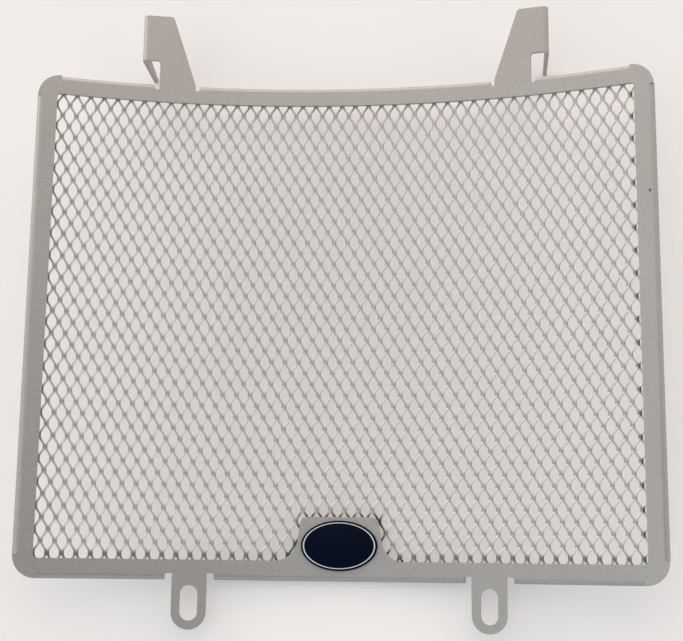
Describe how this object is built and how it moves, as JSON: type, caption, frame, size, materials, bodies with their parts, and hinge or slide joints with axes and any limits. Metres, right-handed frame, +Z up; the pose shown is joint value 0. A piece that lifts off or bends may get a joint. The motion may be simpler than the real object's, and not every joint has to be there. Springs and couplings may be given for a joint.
{
  "type": "motorcycle radiator guard",
  "caption": "Rolled radiator guard for a motorcycle: an expanded metal mesh in a folded sheet frame, with hooks above and slotted tabs below.",
  "frame": {"origin": "middle of the guard's footprint, on the surface that it lies on", "axes": "+X to the guard's right seen from the front, +Y towards its hooks, +Z up, out of its front"},
  "size_m": [0.3292, 0.3328, 0.0522],
  "materials": {
    "frame_coat": "silver grey powder coat, fine satin texture",
    "mesh_coat": "silver grey powder coat, satin",
    "badge_resin": "clear gloss dome over dark blue"
  },
  "bodies": {
    "root": {"frame": "frame_coat", "mesh_panel": "mesh_coat", "badge": "badge_resin"}
  },
  "joints": []
}
